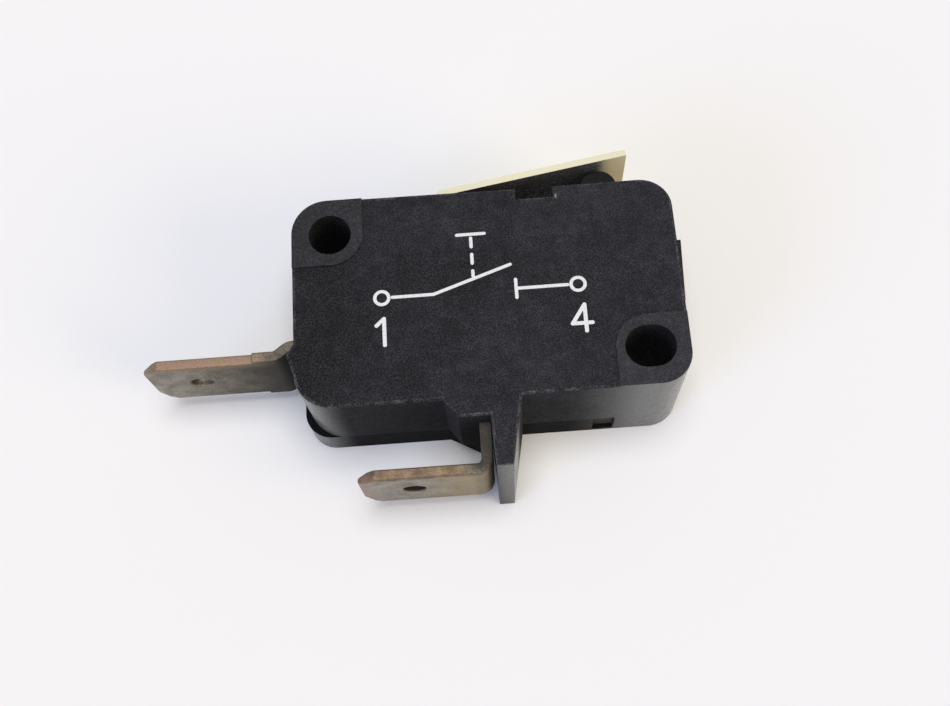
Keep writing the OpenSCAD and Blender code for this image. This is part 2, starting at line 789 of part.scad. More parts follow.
// Domed contact rivet in the blade.
module moving_contact() {
    head_top = blade_low;
    dome_c = head_top - contact_h + dome_r;
    color([0.82, 0.82, 0.84])
        translate([contact_x, 0, mid_z])
            rotate([-90, 0, 0])
                union() {
                    intersection() {
                        translate([0, 0, head_top - contact_h])
                            cylinder(d = contact_d, h = contact_h);
                        translate([0, 0, dome_c])
                            sphere(dome_r, $fn = 96);
                    }
                    translate([0, 0, head_top - contact_h / 2])
                        cylinder(d = shank_d, h = blade_t + contact_h / 2);
                    translate([0, 0, blade_top])
                        cylinder(d = shank_d + tail_over, h = tail_h);
                }
}

// Flat contact rivet on the contact terminal's inner arm.
module fixed_contact() {
    color([0.82, 0.82, 0.84])
        translate([contact_x, 0, mid_z])
            rotate([-90, 0, 0])
                union() {
                    translate([0, 0, arm_top])
                        cylinder(d = contact_d, h = contact_h);
                    translate([0, 0, arm_low])
                        cylinder(d = shank_d, h = tab_t + contact_h / 2);
                }
}

housing();
cover();
plunger();
lever();
lever_pin();
common_terminal();
contact_terminal();
blade();
snap_spring();
moving_contact();
fixed_contact();
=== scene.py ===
"""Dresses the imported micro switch: softened moulded and stamped edges, finishes, pad print, floor, light and camera."""

import math

import bmesh
import bpy
from mathutils import Matrix, Vector


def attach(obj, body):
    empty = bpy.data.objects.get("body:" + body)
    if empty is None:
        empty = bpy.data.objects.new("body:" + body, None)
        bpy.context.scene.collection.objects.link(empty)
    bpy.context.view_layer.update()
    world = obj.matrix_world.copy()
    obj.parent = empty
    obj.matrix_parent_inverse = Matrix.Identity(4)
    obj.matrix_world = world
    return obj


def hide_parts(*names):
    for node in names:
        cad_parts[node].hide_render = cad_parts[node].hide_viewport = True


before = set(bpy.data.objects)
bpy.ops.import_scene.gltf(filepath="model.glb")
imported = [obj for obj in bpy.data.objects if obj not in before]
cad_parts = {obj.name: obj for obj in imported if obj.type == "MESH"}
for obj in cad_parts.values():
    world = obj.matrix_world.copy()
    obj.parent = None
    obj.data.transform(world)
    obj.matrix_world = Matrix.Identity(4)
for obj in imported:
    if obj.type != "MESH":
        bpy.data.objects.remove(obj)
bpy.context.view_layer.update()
MM = 0.001

# Places on the switch in millimetres, as the part's source has them.
CASE_LEFT, CASE_RIGHT = -2.8, 25.0
CASE_LOW, CASE_TOP = -13.1, 2.8
FACE_Z = 10.1
MID_Z = 5.15
WALL = 1.3
SLOT_HOLE = (22.2, -10.3, 0.0)
BODY_CASE, BODY_PLUNGER, BODY_LEVER = "case", "plunger", "lever"
# Front edge of both tabs, free end of the contact tab, and the axes of the locking holes, in depth.
TAB_FRONT = 8.3
TIP_X = 1.1
COMMON_HOLE, CONTACT_HOLE = (-10.45, 0.0, MID_Z), (4.95, 0.0, MID_Z)

# Wear, in millimetres too.
# Outer corners polished by handling, in plan: place, radius of full polish, radius where it ends.
POLISHED = [((25.5, -13.6, 0.0), 2.8, 9.4), ((-3.4, -13.6, 0.0), 1.6, 4.2), ((12.2, -17.0, 0.0), 0.8, 2.8)]
# Distances from the long hole's axis between which that polish sets in.
SLOT_RIM = (2.2, 2.35)
# Nick on the front face beside the gate relief.
GATE_NICK = (16.62, 1.92, FACE_Z)
# Distances from a locking hole's axis between which the marks on its wall end, such as the painted shade in the contact
# tab's hole.
LOCK_RIM = (0.85, 0.92)
# Stretch over which the lever's underside turns chalky and pale towards its free end: a painted highlight.
LEVER_END = (19.8, 21.2)


def linear(hex_colour):
    """Scene-linear colour of an sRGB hex value."""
    parts = [int(hex_colour[i:i + 2], 16) / 255 for i in (1, 3, 5)]
    return tuple(p / 12.92 if p <= 0.04045 else ((p + 0.055) / 1.055) ** 2.4 for p in parts) + (1.0,)


def add(tree, kind, settings=None, inputs=None):
    """Adds a node; an input is a value, or another node's output to link."""
    made = tree.nodes.new(kind)
    for name, value in (settings or {}).items():
        setattr(made, name, value)
    for name, value in (inputs or {}).items():
        if isinstance(value, bpy.types.NodeSocket):
            tree.links.new(value, made.inputs[name])
        else:
            made.inputs[name].default_value = value
    return made


def new_finish(name):
    """An empty material with its output, and the tree to fill."""
    finish = bpy.data.materials.new(name)
    finish.use_nodes = True
    tree = finish.node_tree
    tree.nodes.clear()
    return finish, tree, tree.nodes.new("ShaderNodeOutputMaterial")


def moulded_plastic(name, base, pale, rub, rough, specular):
    """Filled plastic, moulded: dull charcoal with filler flecks, paler rubbed edges, corners hazed by handling and
    painted sheen, walls in painted shade, and painted sheen towards the right end.
    """
    finish, tree, output = new_finish(name)
    coords = add(tree, "ShaderNodeTexCoord")
    place = coords.outputs["Object"]
    at = add(tree, "ShaderNodeSeparateXYZ", None, {"Vector": place})
    turn = add(tree, "ShaderNodeSeparateXYZ", None, {"Vector": coords.outputs["Normal"]})
    # Patterns, from flow clouds to the pits of the moulded skin, with their sizes in millimetres.
    noise = {}
    for pattern, size, detail in (("clouds", 4, 3.0), ("stretches", 1, 4.0), ("blotches", 0.8, 4.0),
                                  ("scuffs", 0.6, 5.0), ("flecks", 0.11, 2.0), ("pits", 0.1, 2.0)):
        noise[pattern] = add(tree, "ShaderNodeTexNoise", None,
                             {"Vector": place, "Scale": 1 / (size * MM), "Detail": detail}).outputs["Fac"]
    # What a pattern adds: the part of its range that counts, and the strength at that part's two ends.
    amount = {}
    for key, pattern, low, high, least, most in (
            ("clouds", "clouds", 0.3, 0.7, 0.0, 0.3), ("flecks", "flecks", 0.43, 0.64, 0.0, 0.56),
            ("blotches", "blotches", 0.3, 0.7, 0.68, 1.32), ("stretches", "stretches", 0.38, 0.68, 0.0, 0.5),
            ("high_spots", "flecks", 0.4, 0.6, 0.1, 1.0), ("grains", "flecks", 0.35, 0.65, 0.18, 0.34),
            ("scuffs", "scuffs", 0.3, 0.7, 0.5, 1.0), ("dullness", "clouds", 0.0, 1.0, rough - 0.08, rough + 0.08)):
        amount[key] = add(tree, "ShaderNodeMapRange", None,
                          {"Value": noise[pattern], "From Min": low, "From Max": high,
                           "To Min": least, "To Max": most}).outputs[0]
    # Painted sheen: the colour is a little paler towards the right end of the case.
    painted_sheen_to_right = add(tree, "ShaderNodeMapRange", None,
                  {"Value": at.outputs["X"], "From Min": CASE_LEFT * MM, "From Max": CASE_RIGHT * MM,
                   "To Min": -0.07, "To Max": 0.13}).outputs[0]
    clouds_and_painted_sheen = add(tree, "ShaderNodeMath", {"operation": "ADD"}, {0: amount["clouds"], 1: painted_sheen_to_right}).outputs[0]
    flow = add(tree, "ShaderNodeMath", {"operation": "ADD", "use_clamp": True},
               {0: amount["flecks"], 1: clouds_and_painted_sheen}).outputs[0]
    mottled = add(tree, "ShaderNodeMath", {"operation": "MULTIPLY"}, {0: flow, 1: amount["blotches"]}).outputs[0]
    # Upright walls are painted darker than the face, with fewer flecks: painted shade.
    upright = add(tree, "ShaderNodeMapRange", None,
                  {"Value": turn.outputs["Z"], "From Min": 0.3, "From Max": 0.8,
                   "To Min": 1.0, "To Max": 0.0}).outputs[0]
    painted_wall_shade = add(tree, "ShaderNodeMapRange", None, {"Value": upright, "To Min": 1.0, "To Max": 1.6}).outputs[0]
    filled = add(tree, "ShaderNodeMath", {"operation": "POWER"}, {0: mottled, 1: painted_wall_shade}).outputs[0]
    # Fixing screws have rubbed the raised pads, from just above the face on.
    on_pad = add(tree, "ShaderNodeMapRange", None,
                 {"Value": at.outputs["Z"], "From Min": (FACE_Z + 0.1) * MM, "From Max": (FACE_Z + 0.14) * MM,
                  "To Max": 0.08}).outputs[0]
    # Rounded edges are rubbed in stretches, on the high spots of the grain.
    worn = add(tree, "ShaderNodeAttribute", {"attribute_name": "rubbed"}).outputs["Fac"]
    for share in ("stretches", "high_spots"):
        worn = add(tree, "ShaderNodeMath", {"operation": "MULTIPLY"}, {0: worn, 1: amount[share]}).outputs[0]
    # Handling has polished the outer corners, on their upright sides and not in the fixing hole.
    plan = add(tree, "ShaderNodeMapping", None, {"Vector": place, "Scale": (1.0, 1.0, 0.0)}).outputs[0]
    off_hole = add(tree, "ShaderNodeVectorMath", {"operation": "DISTANCE"},
                   {0: plan, 1: Vector(SLOT_HOLE) * MM}).outputs["Value"]
    outside = add(tree, "ShaderNodeMapRange", None,
                  {"Value": off_hole, "From Min": SLOT_RIM[0] * MM, "From Max": SLOT_RIM[1] * MM}).outputs[0]
    handled = add(tree, "ShaderNodeMath", {"operation": "MULTIPLY"}, {0: upright, 1: outside}).outputs[0]
    polish = 0.0
    for spot, full, outer in POLISHED:
        away = add(tree, "ShaderNodeVectorMath", {"operation": "DISTANCE"},
                   {0: plan, 1: Vector(spot) * MM}).outputs["Value"]
        close = add(tree, "ShaderNodeMapRange", {"interpolation_type": "SMOOTHSTEP"},
                    {"Value": away, "From Min": full * MM, "From Max": outer * MM,
                     "To Min": 1.0, "To Max": 0.0}).outputs[0]
        polish = add(tree, "ShaderNodeMath", {"operation": "MAXIMUM"}, {0: polish, 1: close}).outputs[0]
    polished = add(tree, "ShaderNodeMath", {"operation": "MULTIPLY"}, {0: polish, 1: handled}).outputs[0]
    # A thin scuffed haze lies there and a little beyond, painted pale: partly dust, partly painted sheen.
    haze_and_painted_sheen = add(tree, "ShaderNodeMath", {"operation": "POWER"}, {0: polished, 1: 0.9}).outputs[0]
    for share in ("scuffs", "grains"):
        haze_and_painted_sheen = add(tree, "ShaderNodeMath", {"operation": "MULTIPLY"}, {0: haze_and_painted_sheen, 1: amount[share]}).outputs[0]
    # The nick beside the gate relief is ragged, about 0.15 by 0.35 mm.
    from_gate = add(tree, "ShaderNodeVectorMath", {"operation": "SUBTRACT"},
                    {0: place, 1: Vector(GATE_NICK) * MM}).outputs[0]
    narrowed = add(tree, "ShaderNodeMapping", None, {"Vector": from_gate, "Scale": (2.3, 1.0, 1.0)}).outputs[0]
    off_gate = add(tree, "ShaderNodeVectorMath", {"operation": "LENGTH"}, {0: narrowed}).outputs["Value"]
    ragged = add(tree, "ShaderNodeMath", {"operation": "MULTIPLY_ADD"},
                 {0: noise["flecks"], 1: 0.4 * MM, 2: off_gate}).outputs[0]
    nick = add(tree, "ShaderNodeMapRange", None,
               {"Value": ragged, "From Min": 0.24 * MM, "From Max": 0.42 * MM,
                "To Min": 0.8, "To Max": 0.0}).outputs[0]
    # Each colour lies over the last: filler, pads, edges, haze with painted sheen, and nick.
    colour = linear(base)
    for factor, over in ((filled, pale), (on_pad, rub), (worn, rub), (haze_and_painted_sheen, "#C0C2BA"), (nick, "#A9A9A6")):
        colour = add(tree, "ShaderNodeMix", {"data_type": "RGBA"},
                     {"Factor": factor, "A": colour, "B": linear(over)}).outputs["Result"]
    smooth = add(tree, "ShaderNodeMapRange", None,
                 {"Value": amount["scuffs"], "From Min": 0.5, "To Min": 0.14, "To Max": 0.34}).outputs[0]
    shine = add(tree, "ShaderNodeMix", {"data_type": "FLOAT"},
                {"Factor": polished, "A": amount["dullness"], "B": smooth}).outputs["Result"]
    bump = add(tree, "ShaderNodeBump", None, {"Height": noise["pits"], "Strength": 0.5, "Distance": 0.02 * MM})
    shader = add(tree, "ShaderNodeBsdfPrincipled", None,
                 {"Base Color": colour, "Roughness": shine, "Normal": bump.outputs[0],
                  "IOR": 1.5, "Specular IOR Level": specular})
    tree.links.new(shader.outputs[0], output.inputs["Surface"])
    return finish


def tinned_strip(name, tin, tarnish, pink, gold, stain, grime_and_shade):
    """Tinned brass strip, blanked after plating: grey grained faces, pink to golden cut edges, dull grime, and painted
    shade towards the case, up the leg and in the contact tab's hole.
    """
    finish, tree, output = new_finish(name)
    coords = add(tree, "ShaderNodeTexCoord")
    place = coords.outputs["Object"]
    at = add(tree, "ShaderNodeSeparateXYZ", None, {"Vector": place})
    turn = add(tree, "ShaderNodeSeparateXYZ", None, {"Vector": coords.outputs["Normal"]})
    # Patterns, from tarnish patches to the plating's grain, with their sizes in millimetres.
    noise = {}
    for pattern, size, detail in (("patches", 1.5, 4.0), ("smears", 0.8, 4.0), ("stretches", 0.5, 3.0),
                                  ("grain", 0.1, 3.0)):
        noise[pattern] = add(tree, "ShaderNodeTexNoise", None,
                             {"Vector": place, "Scale": 1 / (size * MM), "Detail": detail}).outputs["Fac"]
    # What a pattern adds: the part of its range that counts, and the strength at that part's two ends.
    amount = {}
    for key, pattern, low, high, least, most in (
            ("tarnish", "patches", 0.3, 0.72, 0.0, 1.0), ("speckle", "grain", 0.36, 0.64, -0.4, 0.4),
            ("gold", "stretches", 0.4, 0.6, 0.0, 1.0), ("smears", "smears", 0.35, 0.65, 0.0, 0.55),
            ("dullness", "patches", 0.0, 1.0, 0.3, 0.46)):
        amount[key] = add(tree, "ShaderNodeMapRange", None,
                          {"Value": noise[pattern], "From Min": low, "From Max": high,
                           "To Min": least, "To Max": most}).outputs[0]
    # Changes along the strips: the axis, where a change starts and ends in millimetres, its strength there, its run.
    along = {}
    for key, axis, start, end, first, last, run in (
            ("common_tab", "X", -2.6, -2.4, 1.0, 0.0, "LINEAR"),
            ("to_case", "X", -13.0, -3.2, 0.0, 0.95, "SMOOTHSTEP"),
            ("common_bloom", "X", -7.0, -4.0, 1.0, 0.0, "LINEAR"),
            ("contact_bloom", "X", 8.0, 9.6, 1.0, 0.0, "LINEAR"),
            ("creep", "Z", TAB_FRONT - 0.8, TAB_FRONT, 0.0, 0.8, "SMOOTHSTEP"),
            ("to_bend", "X", 4.5, 9.0, 0.0, 0.7, "SMOOTHSTEP"),
            ("to_tip", "X", TIP_X, TIP_X + 1.6, 0.8, 0.0, "SMOOTHSTEP"),
            ("burr", "Z", 7.75, 8.05, 0.0, 1.0, "SMOOTHSTEP"),
            ("up_leg", "Y", -18.5, -17.2, 0.0, 0.78, "SMOOTHSTEP"),
            ("leg", "X", 9.0, 9.6, 0.0, 1.0, "LINEAR")):
        along[key] = add(tree, "ShaderNodeMapRange", {"interpolation_type": run},
                         {"Value": at.outputs[axis], "From Min": start * MM, "From Max": end * MM,
                          "To Min": first, "To Max": last}).outputs[0]
    contact_tab = add(tree, "ShaderNodeMath", {"operation": "SUBTRACT"}, {0: 1.0, 1: along["common_tab"]}).outputs[0]
    bloom_reach = add(tree, "ShaderNodeMix", {"data_type": "FLOAT"},
                      {"Factor": along["common_tab"], "A": along["contact_bloom"],
                       "B": along["common_bloom"]}).outputs["Result"]
    # The common tab is painted darker towards the case: painted shade. The contact tab is smeared, stained golden
    # towards its bend and pink at its tip. The bloom of the cut edges creeps down the faces. The leg is painted darker:
    # painted shade.
    shares = {}
    for key, one, other in (("painted_case_shade", along["to_case"], along["common_tab"]), ("smeared", amount["smears"], contact_tab),
                            ("bent", along["to_bend"], contact_tab), ("tipped", along["to_tip"], contact_tab),
                            ("crept", along["creep"], bloom_reach), ("painted_leg_shade", along["up_leg"], along["leg"])):
        shares[key] = add(tree, "ShaderNodeMath", {"operation": "MULTIPLY"}, {0: one, 1: other}).outputs[0]
    tarnished = add(tree, "ShaderNodeMath", {"operation": "ADD", "use_clamp": True},
                    {0: amount["tarnish"], 1: amount["speckle"]}).outputs[0]
    plated = add(tree, "ShaderNodeMix", {"data_type": "RGBA"},
                 {"Factor": tarnished, "A": linear(tin), "B": linear(tarnish)}).outputs["Result"]
    faces = plated
    for factor, over in ((shares["painted_case_shade"], grime_and_shade), (shares["crept"], gold), (shares["bent"], stain),
                         (shares["tipped"], pink)):
        faces = add(tree, "ShaderNodeMix", {"data_type": "RGBA"},
                    {"Factor": factor, "A": faces, "B": linear(over)}).outputs["Result"]
    # The cut edges' bloom wanders from pink to gold, flecked and browned. Past its reach they look plated, with less
    # of the painted shade towards the case than the faces.
    bloom = linear(pink)
    for factor, over in ((amount["gold"], gold), (amount["speckle"], grime_and_shade), (shares["smeared"], grime_and_shade)):
        bloom = add(tree, "ShaderNodeMix", {"data_type": "RGBA"},
                    {"Factor": factor, "A": bloom, "B": linear(over)}).outputs["Result"]
    edge_case_shade = add(tree, "ShaderNodeMath", {"operation": "MULTIPLY"}, {0: shares["painted_case_shade"], 1: 0.45}).outputs[0]
    past_bloom = add(tree, "ShaderNodeMix", {"data_type": "RGBA"},
                     {"Factor": edge_case_shade, "A": plated, "B": linear(grime_and_shade)}).outputs["Result"]
    edges = add(tree, "ShaderNodeMix", {"data_type": "RGBA"},
                {"Factor": bloom_reach, "A": past_bloom, "B": bloom}).outputs["Result"]
    # Walls of the two locking holes, by their distance from each hole's axis.
    depthwise = add(tree, "ShaderNodeMapping", None, {"Vector": place, "Scale": (1.0, 0.0, 1.0)}).outputs[0]
    flat = add(tree, "ShaderNodeMath", {"operation": "ABSOLUTE"}, {0: turn.outputs["Y"]}).outputs[0]
    walled = add(tree, "ShaderNodeMapRange", None,
                 {"Value": flat, "From Min": 0.2, "From Max": 0.6, "To Min": 1.0, "To Max": 0.0}).outputs[0]
    in_holes = []
    for hole in (COMMON_HOLE, CONTACT_HOLE):
        off_axis = add(tree, "ShaderNodeVectorMath", {"operation": "DISTANCE"},
                       {0: depthwise, 1: Vector(hole) * MM}).outputs["Value"]
        near = add(tree, "ShaderNodeMapRange", None,
                   {"Value": off_axis, "From Min": LOCK_RIM[0] * MM, "From Max": LOCK_RIM[1] * MM,
                    "To Min": 1.0, "To Max": 0.0}).outputs[0]
        in_holes.append(add(tree, "ShaderNodeMath", {"operation": "MULTIPLY"}, {0: near, 1: walled}).outputs[0])
    # Cut edges are bare, apart from the common tab's hole.
    side = add(tree, "ShaderNodeMath", {"operation": "ABSOLUTE"}, {0: turn.outputs["Z"]}).outputs[0]
    cut = add(tree, "ShaderNodeMapRange", {"interpolation_type": "SMOOTHSTEP"},
              {"Value": side, "From Min": 0.3, "From Max": 0.95}).outputs[0]
    bare = add(tree, "ShaderNodeMath", {"operation": "SUBTRACT", "use_clamp": True},
               {0: cut, 1: in_holes[0]}).outputs[0]
    # Grime lies along the contact tab's burr under the front edge; painted shade lies in the contact tab's hole and up
    # the leg.
    burred = add(tree, "ShaderNodeMath", {"operation": "MULTIPLY"}, {0: along["burr"], 1: shares["smeared"]}).outputs[0]
    dirt_and_shade = add(tree, "ShaderNodeMath", {"operation": "SUBTRACT", "use_clamp": True}, {0: burred, 1: bare}).outputs[0]
    for other_grime in (in_holes[1], shares["painted_leg_shade"]):
        dirt_and_shade = add(tree, "ShaderNodeMath", {"operation": "MAXIMUM"}, {0: dirt_and_shade, 1: other_grime}).outputs[0]
    colour = add(tree, "ShaderNodeMix", {"data_type": "RGBA"},
                 {"Factor": bare, "A": faces, "B": edges}).outputs["Result"]
    dirtied_and_shaded = add(tree, "ShaderNodeMix", {"data_type": "RGBA"},
                 {"Factor": dirt_and_shade, "A": colour, "B": linear(grime_and_shade)}).outputs["Result"]
    # Grime and painted shade aren't metal: they are dull, and take the shine with them. Bare edges show less of the
    # shade towards the case.
    bloomed = add(tree, "ShaderNodeMapRange", None, {"Value": bloom_reach, "To Min": 0.5, "To Max": 1.0}).outputs[0]
    cleaner = add(tree, "ShaderNodeMath", {"operation": "MULTIPLY"}, {0: bare, 1: bloomed}).outputs[0]
    case_shade_shown = add(tree, "ShaderNodeMath", {"operation": "SUBTRACT", "use_clamp": True},
                     {0: shares["painted_case_shade"], 1: cleaner}).outputs[0]
    dull_dirt_and_shade = add(tree, "ShaderNodeMath", {"operation": "MAXIMUM"}, {0: dirt_and_shade, 1: case_shade_shown}).outputs[0]
    metal = add(tree, "ShaderNodeMapRange", None, {"Value": dull_dirt_and_shade, "To Min": 0.9, "To Max": 0.35}).outputs[0]
    # Plated faces are half dull, sheared edges duller, and grime and painted shade dullest.
    rough = amount["dullness"]
    for factor, duller in ((bare, 0.6), (dull_dirt_and_shade, 0.75)):
        rough = add(tree, "ShaderNodeMix", {"data_type": "FLOAT"},
                    {"Factor": factor, "A": rough, "B": duller}).outputs["Result"]
    bump = add(tree, "ShaderNodeBump", None, {"Height": noise["grain"], "Strength": 0.5, "Distance": 0.02 * MM})
    shader = add(tree, "ShaderNodeBsdfPrincipled", None,
                 {"Base Color": dirtied_and_shaded, "Metallic": metal, "Roughness": rough,
                  "Normal": bump.outputs[0], "Specular IOR Level": 0.3})
    tree.links.new(shader.outputs[0], output.inputs["Surface"])
    return finish


def rolled_metal(name, base, other, rough, streak_mm, sheared=None):
    """Rolled strip or drawn wire: bright, with fine lengthwise streaks and a faint change of tint."""
    finish, tree, output = new_finish(name)
    coords = add(tree, "ShaderNodeTexCoord")
    place = coords.outputs["Object"]
    along = add(tree, "ShaderNodeMapping", None, {"Vector": place, "Scale": (0.12, 1.0, 1.0)}).outputs[0]
    streaks = add(tree, "ShaderNodeTexNoise", None,
                  {"Vector": along, "Scale": 1 / (streak_mm * MM), "Detail": 3.0}).outputs["Fac"]
    # The tint wanders over about 1.2 mm.
    tint = add(tree, "ShaderNodeTexNoise", None,
               {"Vector": place, "Scale": 1 / (1.2 * MM), "Detail": 3.0}).outputs["Fac"]
    tint_amount = add(tree, "ShaderNodeMapRange", None,
                      {"Value": tint, "From Min": 0.35, "From Max": 0.65}).outputs[0]
    tinted = add(tree, "ShaderNodeMix", {"data_type": "RGBA"},
                 {"Factor": tint_amount, "A": linear(base), "B": linear(other)}).outputs["Result"]
    # Rolling streaks darken it by a tenth at most.
    streak_amount = add(tree, "ShaderNodeMapRange", None,
                        {"Value": streaks, "From Min": 0.4, "From Max": 0.7, "To Max": 0.25}).outputs[0]
    colour = add(tree, "ShaderNodeMix", {"data_type": "RGBA", "blend_type": "MULTIPLY"},
                 {"Factor": streak_amount, "A": tinted, "B": linear("#CCCCCC")}).outputs["Result"]
    dull = add(tree, "ShaderNodeMapRange", None,
               {"Value": streaks, "To Min": rough - 0.08, "To Max": rough + 0.08}).outputs[0]
    bump = add(tree, "ShaderNodeBump", None, {"Height": streaks, "Strength": 0.15, "Distance": 0.01 * MM})
    shader = add(tree, "ShaderNodeBsdfPrincipled", None,
                 {"Base Color": colour, "Metallic": 1.0, "Roughness": dull, "Normal": bump.outputs[0]})
    if sheared:
        # Sheared edges look milky beside the rolled faces.
        at = add(tree, "ShaderNodeSeparateXYZ", None, {"Vector": place})
        turn = add(tree, "ShaderNodeSeparateXYZ", None, {"Vector": coords.outputs["Normal"]})
        side = add(tree, "ShaderNodeMath", {"operation": "ABSOLUTE"}, {0: turn.outputs["Z"]}).outputs[0]
        cut = add(tree, "ShaderNodeMapRange", None, {"Value": side, "From Min": 0.5, "From Max": 0.9}).outputs[0]
        # So does the underside; at the free end it is also painted pale straw, a painted highlight. Short of that end
        # it is worn to bare steel.
        end = add(tree, "ShaderNodeMapRange", {"interpolation_type": "SMOOTHSTEP"},
                  {"Value": at.outputs["X"], "From Min": LEVER_END[0] * MM, "From Max": LEVER_END[1] * MM,
                   "To Min": 0.14}).outputs[0]
        under = add(tree, "ShaderNodeMapRange", None,
                    {"Value": turn.outputs["Y"], "From Min": -0.7, "From Max": -0.3,
                     "To Min": 1.0, "To Max": 0.0}).outputs[0]
        painted_highlight_under_end = add(tree, "ShaderNodeMath", {"operation": "MULTIPLY"}, {0: end, 1: under}).outputs[0]
        inboard = add(tree, "ShaderNodeMath", {"operation": "SUBTRACT", "use_clamp": True},
                      {0: under, 1: painted_highlight_under_end}).outputs[0]
        bare = add(tree, "ShaderNodeMath", {"operation": "MAXIMUM"}, {0: cut, 1: painted_highlight_under_end}).outputs[0]
        for factor, over in ((bare, sheared), (inboard, "#CDCFD6"), (painted_highlight_under_end, "#FCF0C2")):
            colour = add(tree, "ShaderNodeMix", {"data_type": "RGBA"},
                         {"Factor": factor, "A": colour, "B": linear(over)}).outputs["Result"]
        cut_metal = add(tree, "ShaderNodeMapRange", None, {"Value": bare, "To Min": 1.0, "To Max": 0.45}).outputs[0]
        milky = add(tree, "ShaderNodeMath", {"operation": "MULTIPLY_ADD"}, {0: painted_highlight_under_end, 1: -0.35, 2: cut_metal})
        duller = add(tree, "ShaderNodeMix", {"data_type": "FLOAT"}, {"Factor": bare, "A": dull, "B": 0.45})
        tree.links.new(colour, shader.inputs["Base Color"])
        tree.links.new(milky.outputs[0], shader.inputs["Metallic"])
        tree.links.new(duller.outputs["Result"], shader.inputs["Roughness"])
    tree.links.new(shader.outputs[0], output.inputs["Surface"])
    return finish


def pad_printed_ink(name, white, thin):
    """Pad-printed two-part ink: flat white, thinner in specks where the moulded skin shows through."""
    finish, tree, output = new_finish(name)
    place = add(tree, "ShaderNodeTexCoord").outputs["Object"]
    # Specks of thin ink are about 0.1 mm wide.
    specks = add(tree, "ShaderNodeTexNoise", None,
                 {"Vector": place, "Scale": 1 / (0.1 * MM), "Detail": 3.0}).outputs["Fac"]
    bare = add(tree, "ShaderNodeMapRange", None,
               {"Value": specks, "From Min": 0.55, "From Max": 0.75, "To Max": 0.7}).outputs[0]
    colour = add(tree, "ShaderNodeMix", {"data_type": "RGBA"},
                 {"Factor": bare, "A": linear(white), "B": linear(thin)}).outputs["Result"]
    dull = add(tree, "ShaderNodeMapRange", None, {"Value": specks, "To Min": 0.5, "To Max": 0.7}).outputs[0]
    bump = add(tree, "ShaderNodeBump", None, {"Height": specks, "Strength": 0.2, "Distance": 0.005 * MM})
    shader = add(tree, "ShaderNodeBsdfPrincipled", None,
                 {"Base Color": colour, "Roughness": dull, "Normal": bump.outputs[0]})
    tree.links.new(shader.outputs[0], output.inputs["Surface"])
    return finish


# Mineral-filled thermoset, press moulded: matt charcoal in front, and a blacker rear half.
housing_finish = moulded_plastic("moulded_thermoset_front", "#060607", "#3E3E44", "#77777C", 0.92, 0.22)
cover_finish = moulded_plastic("moulded_thermoset_rear", "#040405", "#222226", "#66666A", 0.92, 0.12)
# Nylon, injection moulded: even black, with a faint satin shine.
plunger_finish = moulded_plastic("moulded_nylon_black", "#060607", "#101012", "#2C2C2F", 0.6, 0.15)
# Brass tinned in the strip and then blanked: grey faces, and cut edges that have tarnished pink and gold.
terminal_finish = tinned_strip("tinned_brass_blanked", "#928B7B", "#585348", "#8C7268", "#86755A", "#8E7B50", "#2E2A26")
# Steel, rolled and yellow passivated: pale straw, bright on the faces, milky where it was sheared, with a painted
# highlight under its free end.
lever_finish = rolled_metal("yellow_passivated_steel_strip", "#DAD7BC", "#D5D2B6", 0.22, 0.05, "#CCC8AE")
# Inside the case: grey drawn wire, warm spring copper, grey spring steel and whitish silver.
pin_finish = rolled_metal("drawn_steel_wire", "#9A9A9C", "#86868A", 0.3, 0.05)
blade_finish = rolled_metal("spring_copper_strip", "#C08A4E", "#A87540", 0.32, 0.06)
spring_finish = rolled_metal("spring_steel_strip", "#8E8E92", "#77777C", 0.3, 0.05)
contact_finish = rolled_metal("silver_alloy_headed", "#D2D2D0", "#BEBEBC", 0.28, 0.05)
# Two-part ink, pad printed: flat white that thins over the skin's high spots.
ink_finish = pad_printed_ink("pad_printed_white_ink", "#E9E9EA", "#77777A")

# Camera at the photograph's place: its eye in millimetres from the round hole's axis, and two of its directions.
EYE = (11.143, -37.986, 86.798)
BACKWARD, RIGHT = (0.0144, -0.3443, 0.9388), (0.9973, -0.0627, -0.0383)
camera_data = bpy.data.cameras.new("photo_camera")
camera_data.sensor_fit = "HORIZONTAL"
camera_data.sensor_width = 36.0
camera_data.lens = 44.366
camera_data.clip_start = 0.005
camera_data.clip_end = 20.0
camera = bpy.data.objects.new("photo_camera", camera_data)
bpy.context.scene.collection.objects.link(camera)
backward = Vector(BACKWARD).normalized()
right = Vector(RIGHT)
right = (right - backward * right.dot(backward)).normalized()
upward = backward.cross(right)
camera.matrix_world = Matrix.Translation(Vector(EYE) * MM) @ Matrix((right, upward, backward)).transposed().to_4x4()
bpy.context.scene.camera = camera
bpy.context.scene.view_settings.view_transform = "Standard"

# Angle from which two faces meet in an edge, angle up to which they are one flat, and distance that merges corners.
CREASE, FLAT = math.radians(35), math.radians(0.5)
MERGE = 0.001 * MM


